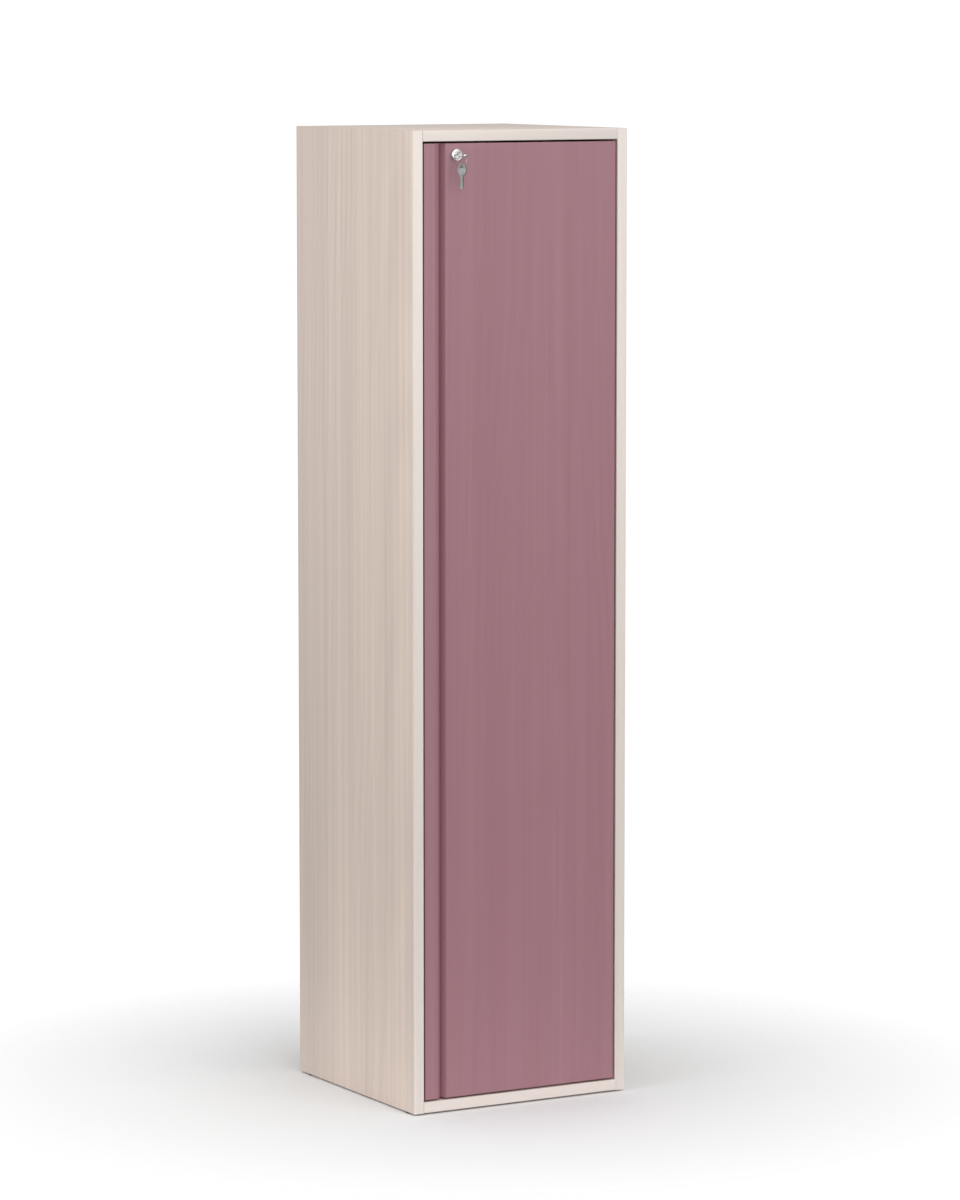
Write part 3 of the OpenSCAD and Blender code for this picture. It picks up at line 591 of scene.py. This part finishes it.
class LOCKER_OT_hinges(bpy.types.Operator):
    """Finishes the concealed hinges: nickel plate on stamped steel, and bright pins"""

    bl_idname = "locker.hinges"
    bl_label = "Hinges"
    bl_options = {"REGISTER", "UNDO"}

    def execute(self, context):
        sizes = context.scene.locker_sizes
        nickel = metal_material("nickel plate", tint(206, 203, 196), 0.24, (1, 0.15, 1))
        pins = metal_material("bright steel", tint(200, 201, 203), 0.22)
        for node in sorted(frame["nodes"]):
            if node.startswith("hinge_"):
                eased_piece(node.replace("hinge_", "hung_"), node, nickel,
                            sizes.metal_ease, 0.0015)
        paint(pins, "cup_pins", "arm_pins")
        return {"FINISHED"}


class LOCKER_OT_lock(bpy.types.Operator):
    """Models the turned rosette and finishes the rim lock behind it"""

    bl_idname = "locker.lock"
    bl_label = "Lock"
    bl_options = {"REGISTER", "UNDO"}

    def execute(self, context):
        sizes = context.scene.locker_sizes
        zinc = metal_material("lock case zinc", tint(190, 192, 194), 0.34, (1, 1, 0.2))
        chrome = metal_material("chrome", tint(226, 226, 226), 0.20, (1, 1, 1), 0.12, 0.03)
        low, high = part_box("lock_rosette")
        axis_point = Vector(JOINTS["key_turn"]["pos_m"])
        outer = (high.x - low.x) / 2
        plug_low, plug_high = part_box("lock_plug")
        bore = (plug_high.z - plug_low.z) / 2 + 0.00008
        front = low.y
        back = high.y
        door_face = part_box("door_panel")[0].y
        neck = outer - 0.0007
        bm = turned([
            (bore, front + 0.0004), (bore + 0.0004, front), (bore + 0.0010, front),
            (bore + 0.0013, front + 0.00025), (outer - 0.0017, front + 0.00025),
            (outer - 0.0013, front), (outer - 0.0008, front + 0.0001),
            (outer - 0.0003, front + 0.0006), (outer, front + 0.0014), (outer, door_face),
            (neck, door_face), (neck, back), (bore, back)])
        bmesh.ops.translate(bm, vec=(axis_point.x, 0.0, axis_point.z), verts=bm.verts)
        add_piece("rosette", smooth_mesh(bm, "rosette", 40.0), chrome, "door",
                  ["lock_rosette"])
        eased_piece("plug", "lock_plug", chrome, 0.0002, 0.001)
        for name, node in (("case", "lock_case"), ("base_plate", "lock_base_plate"),
                           ("latch_bolt", "lock_bolt"), ("turning_cam", "lock_cam")):
            eased_piece(name, node, zinc, sizes.metal_ease, 0.002)
        return {"FINISHED"}


def key_mesh(sizes, length, bow_width):
    """A stamped key, flat in X and Y: its hole at the origin, its blade towards +Y."""
    half = sizes.key_thickness / 2
    hole = sizes.key_hole / 2
    bow_length = 0.020
    hole_in = 0.0048
    panel_sunk = 0.0002
    tooth_pitch = 0.0019
    tooth_cuts = (0.0, 0.0009, 0.0003, 0.0012)
    groove_margin = 0.0012
    groove_depth = 0.0004
    middle = bow_length / 2 - hole_in
    bm = bmesh.new()
    loops = []
    for share, sunk in ((1.0, 0.0), (0.90, 0.0), (0.87, panel_sunk), (0.0, panel_sunk)):
        radius = share * bow_width / 2 if share else hole
        loop = bmesh.ops.create_circle(bm, segments=48, radius=radius)["verts"]
        if share:
            bmesh.ops.scale(bm, vec=(1.0, bow_length / bow_width, 1.0), verts=loop)
            bmesh.ops.translate(bm, vec=(0, middle, 0), verts=loop)
        bmesh.ops.translate(bm, vec=(0, 0, half - sunk), verts=loop)
        loops.append(loop)
    for outside, inside in zip(loops, loops[1:]):
        bmesh.ops.bridge_loops(bm, edges=[
            e for e in bm.edges
            if all(v in outside for v in e.verts) or all(v in inside for v in e.verts)])
    mirrored = bmesh.ops.duplicate(bm, geom=bm.verts[:] + bm.edges[:] + bm.faces[:])["geom"]
    bmesh.ops.scale(bm, vec=(1, 1, -1),
                    verts=[g for g in mirrored if isinstance(g, bmesh.types.BMVert)])
    for rim in (loops[0], loops[-1]):
        outline = {v.co.to_tuple(6)[:2] for v in rim}
        bmesh.ops.bridge_loops(bm, edges=[
            e for e in bm.edges if len(e.link_faces) == 1
            and all(v.co.to_tuple(6)[:2] in outline for v in e.verts)])
    bmesh.ops.recalc_face_normals(bm, faces=bm.faces)
    bevel(bm, sharp_edges(bm, 60.0), 0.00022)
    # blade: a narrow bar with a milled groove down each face and a cut tip
    end = length - hole_in
    start = middle + bow_length * 0.34
    blade = bmesh.ops.create_cube(bm, size=1.0)["verts"]
    bmesh.ops.scale(bm, vec=(sizes.blade_width, end - start, 2 * half * 0.86), verts=blade)
    bmesh.ops.translate(bm, vec=(0, (start + end) / 2, 0), verts=blade)
    long_edges = list({e for v in blade for e in v.link_edges if e.calc_length() > 0.015})
    bmesh.ops.subdivide_edges(bm, edges=long_edges, cuts=11, use_grid_fill=True)
    for vert in bm.verts:
        if vert.co.y > start + 0.006 and vert.co.x > sizes.blade_width / 2 - 1e-5:
            step = int(round((vert.co.y - start) / tooth_pitch))
            vert.co.x -= tooth_cuts[step % 4]
    tip = [v for v in bm.verts if v.co.y > end - 1e-5]
    bmesh.ops.scale(bm, vec=(0.35, 1.0, 0.8), verts=tip)
    faces = [f for f in bm.faces if abs(f.normal.z) > 0.99
             and start + 0.004 < f.calc_center_median().y < end - 0.002]
    for side in (1, -1):
        chosen = [f for f in faces if f.is_valid and f.normal.z * side > 0.9]
        if chosen:
            bmesh.ops.inset_region(bm, faces=chosen, thickness=groove_margin, depth=0.0,
                                   use_even_offset=True)
            bmesh.ops.translate(bm, vec=(0, 0, -groove_depth * side), verts=list(
                {v for f in chosen if f.is_valid for v in f.verts}))
    return bm


class LOCKER_OT_keys(bpy.types.Operator):
    """Models the key in the lock, the split ring and the spare key that hangs on it"""

    bl_idname = "locker.keys"
    bl_label = "Keys and ring"
    bl_options = {"REGISTER", "UNDO"}

    def execute(self, context):
        sizes = context.scene.locker_sizes
        steel = metal_material("key steel", tint(128, 129, 128), 0.36, (1, 1, 0.3), 0.4)
        bright = metal_material("key steel bright", tint(214, 214, 212), 0.24, (1, 1, 0.3))
        wire = metal_material("ring wire", tint(208, 208, 208), 0.25)
        low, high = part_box("main_key")
        length = high.y - low.y
        lock = Vector(JOINTS["key_turn"]["pos_m"])
        ring_pivot = Vector(JOINTS["key_ring_hang"]["pos_m"])
        spare_pivot = Vector(JOINTS["spare_key_swing"]["pos_m"])
        bow_width = 0.0166

        bm = key_mesh(sizes, length, bow_width)
        bmesh.ops.transform(bm, verts=bm.verts, matrix=(
            Matrix.Translation((lock.x, ring_pivot.y, lock.z))
            @ Matrix.Rotation(-sizes.key_tilt, 4, "Y")))
        add_piece("key_in_lock", smooth_mesh(bm, "key in lock"), bright,
                  BODY_OF_NODE["main_key"], ["main_key"])

        ring_low, ring_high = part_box("key_ring")
        centre = (ring_low + ring_high) / 2
        wire_d = ring_high.y - ring_low.y
        ring_radius = (ring_high.x - ring_low.x) / 2 - wire_d / 2
        hole_z = spare_pivot.z - sizes.key_hole / 2 + wire_d / 2 + 0.00025
        bm = key_mesh(sizes, length, bow_width)
        bmesh.ops.transform(bm, verts=bm.verts, matrix=(
            Matrix.Translation((spare_pivot.x, spare_pivot.y, hole_z))
            @ Matrix.Rotation(sizes.spare_turn, 4, "Z")
            @ Matrix.Rotation(math.radians(90), 4, "Y")
            @ Matrix.Rotation(math.radians(-90), 4, "Z")))
        add_piece("key_spare", smooth_mesh(bm, "spare key"), steel,
                  BODY_OF_NODE["spare_key"], ["spare_key"])

        bm = bmesh.new()
        strand = wire_d / 6
        profile = bmesh.ops.create_circle(bm, cap_ends=True, segments=12, radius=strand)["verts"]
        bmesh.ops.translate(bm, vec=(ring_radius, 0, 0), verts=profile)
        turns = 2
        steps = 72 * turns
        bmesh.ops.spin(bm, geom=bm.verts[:] + bm.edges[:] + bm.faces[:], cent=(0, 0, 0),
                       axis=(0, 1, 0), dvec=(0, 2 * strand * turns / steps, 0),
                       angle=math.tau * turns, steps=steps)
        bmesh.ops.remove_doubles(bm, verts=bm.verts, dist=1e-6)
        bmesh.ops.recalc_face_normals(bm, faces=bm.faces)
        bmesh.ops.translate(bm, vec=(centre.x, centre.y - strand * turns, centre.z),
                            verts=bm.verts)
        add_piece("split_ring", smooth_mesh(bm, "split ring", 60.0), wire,
                  BODY_OF_NODE["key_ring"], ["key_ring"])
        return {"FINISHED"}


class LOCKER_OT_stage(bpy.types.Operator):
    """Sets the pale floor, the soft studio lights and the camera"""

    bl_idname = "locker.stage"
    bl_label = "Stage"
    bl_options = {"REGISTER", "UNDO"}

    def execute(self, context):
        scene = context.scene
        stage = scene.locker_stage
        floor_radius = 3.0
        fade_start, fade_end = 0.3, 1.05
        backdrop = 1.05
        scene.view_settings.view_transform = "Standard"
        scene.view_settings.look = "None"

        bm = bmesh.new()
        bmesh.ops.create_circle(bm, cap_ends=True, segments=96, radius=floor_radius)
        mesh = bpy.data.meshes.new("floor")
        bm.to_mesh(mesh)
        bm.free()
        floor = bpy.data.objects.new("floor", mesh)
        scene.collection.objects.link(floor)
        graph = Graph("floor")
        spot = graph.place()
        cloud = graph.noise(spot, 1.3, 2.0)
        x, y, _ = graph.parts(spot)
        away = (x * x + y * y) ** 0.5
        floor.data.materials.append(graph.finish(
            {"Roughness": 0.9, "Specular IOR Level": 0.1},
            Base_Color=graph.mix(cloud, (0.83, 0.835, 0.84), (0.85, 0.855, 0.86)),
            Alpha=graph.ranged(away, fade_start, fade_end, 1.0, 0.0)))

        # the room light is weaker from below, and the camera sees an even white backdrop
        world = bpy.data.worlds.new("studio")
        scene.world = world
        world.use_nodes = True
        tree = world.node_tree
        background = tree.nodes["Background"]
        path = tree.nodes.new("ShaderNodeLightPath")
        direction = tree.nodes.new("ShaderNodeTexCoord")
        apart = tree.nodes.new("ShaderNodeSeparateXYZ")
        tree.links.new(direction.outputs["Generated"], apart.inputs[0])
        climb = tree.nodes.new("ShaderNodeMapRange")
        climb.inputs["From Min"].default_value = -0.5
        climb.inputs["From Max"].default_value = 0.3
        climb.inputs["To Min"].default_value = stage.sky * 0.45
        climb.inputs["To Max"].default_value = stage.sky * 1.15
        tree.links.new(apart.outputs["Z"], climb.inputs["Value"])
        pick = tree.nodes.new("ShaderNodeMix")
        pick.data_type = "FLOAT"
        tree.links.new(climb.outputs[0], pick.inputs[2])
        pick.inputs[3].default_value = backdrop
        tree.links.new(path.outputs["Is Camera Ray"], pick.inputs[0])
        tree.links.new(pick.outputs[0], background.inputs["Strength"])
        background.inputs["Color"].default_value = (1.0, 1.0, 1.0, 1.0)

        lights = [
            ("softbox front", stage.key_energy, 2.6, (1.6, -4.6, 3.0), (0.0, 0.0, 0.9)),
            ("softbox top", stage.top_energy, 6.0, (-0.3, -0.3, 7.0), (0.0, 0.0, 0.0)),
            ("softbox high left", stage.high_energy, 2.0, (-2.4, -0.2, 1.8), (0.0, 0.0, 1.2)),
            ("softbox high front", stage.high_energy, 2.0, (-0.4, -2.6, 1.8), (0.0, 0.0, 1.2)),
        ]
        for name, energy, size, place, target in lights:
            lamp = bpy.data.lights.new(name, "AREA")
            lamp.shape = "SQUARE"
            lamp.size = size
            lamp.energy = energy
            obj = bpy.data.objects.new(name, lamp)
            scene.collection.objects.link(obj)
            obj.location = place
            aim = Vector(target) - Vector(place)
            obj.rotation_euler = aim.to_track_quat("-Z", "Y").to_euler()

        camera = bpy.data.cameras.new("camera")
        camera.sensor_width = 36.0
        camera.lens = stage.lens
        camera.clip_end = 100.0
        obj = bpy.data.objects.new("camera", camera)
        scene.collection.objects.link(obj)
        facing = Euler((math.radians(90) - stage.pitch, 0.0, -stage.azimuth))
        turn = facing.to_matrix()
        obj.rotation_euler = facing
        # the cabinet stands a little left of and below the middle of the view
        offset = turn @ Vector((0.03232, 0.01556, stage.distance))
        middle = (cad_box[0].z + cad_box[1].z) / 2
        obj.location = Vector((0.0, 0.0, middle)) + offset
        scene.camera = obj
        return {"FINISHED"}


class LOCKER_PT_panel(bpy.types.Panel):
    """Lists the cabinet's steps and settings in the sidebar"""

    bl_idname = "LOCKER_PT_panel"
    bl_label = "Locker Cabinet"
    bl_space_type = "VIEW_3D"
    bl_region_type = "UI"
    bl_category = "Locker"

    def draw(self, context):
        scene = context.scene
        for title, group in (("Sizes", scene.locker_sizes), ("Finish", scene.locker_finish),
                             ("Stage", scene.locker_stage)):
            box = self.layout.box()
            box.label(text=title)
            for name in group.__annotations__:
                box.prop(group, name)
        for operator in OPERATORS:
            self.layout.operator(operator.bl_idname)


OPERATORS = (
    LOCKER_OT_stage, LOCKER_OT_boards, LOCKER_OT_edge_bands, LOCKER_OT_door,
    LOCKER_OT_fittings, LOCKER_OT_hooks, LOCKER_OT_hinges, LOCKER_OT_lock, LOCKER_OT_keys,
)
CLASSES = (LOCKER_PG_sizes, LOCKER_PG_finish, LOCKER_PG_stage, *OPERATORS, LOCKER_PT_panel)


def register():
    for item in CLASSES:
        bpy.utils.register_class(item)
    bpy.types.Scene.locker_sizes = bpy.props.PointerProperty(type=LOCKER_PG_sizes)
    bpy.types.Scene.locker_finish = bpy.props.PointerProperty(type=LOCKER_PG_finish)
    bpy.types.Scene.locker_stage = bpy.props.PointerProperty(type=LOCKER_PG_stage)


def unregister():
    del bpy.types.Scene.locker_stage
    del bpy.types.Scene.locker_finish
    del bpy.types.Scene.locker_sizes
    for item in reversed(CLASSES):
        bpy.utils.unregister_class(item)


def main():
    register()
    bpy.ops.locker.stage()
    bpy.ops.locker.boards()
    bpy.ops.locker.edge_bands()
    bpy.ops.locker.door()
    bpy.ops.locker.fittings()
    bpy.ops.locker.hooks()
    bpy.ops.locker.hinges()
    bpy.ops.locker.lock()
    bpy.ops.locker.keys()


if __name__ == "__main__":
    main()
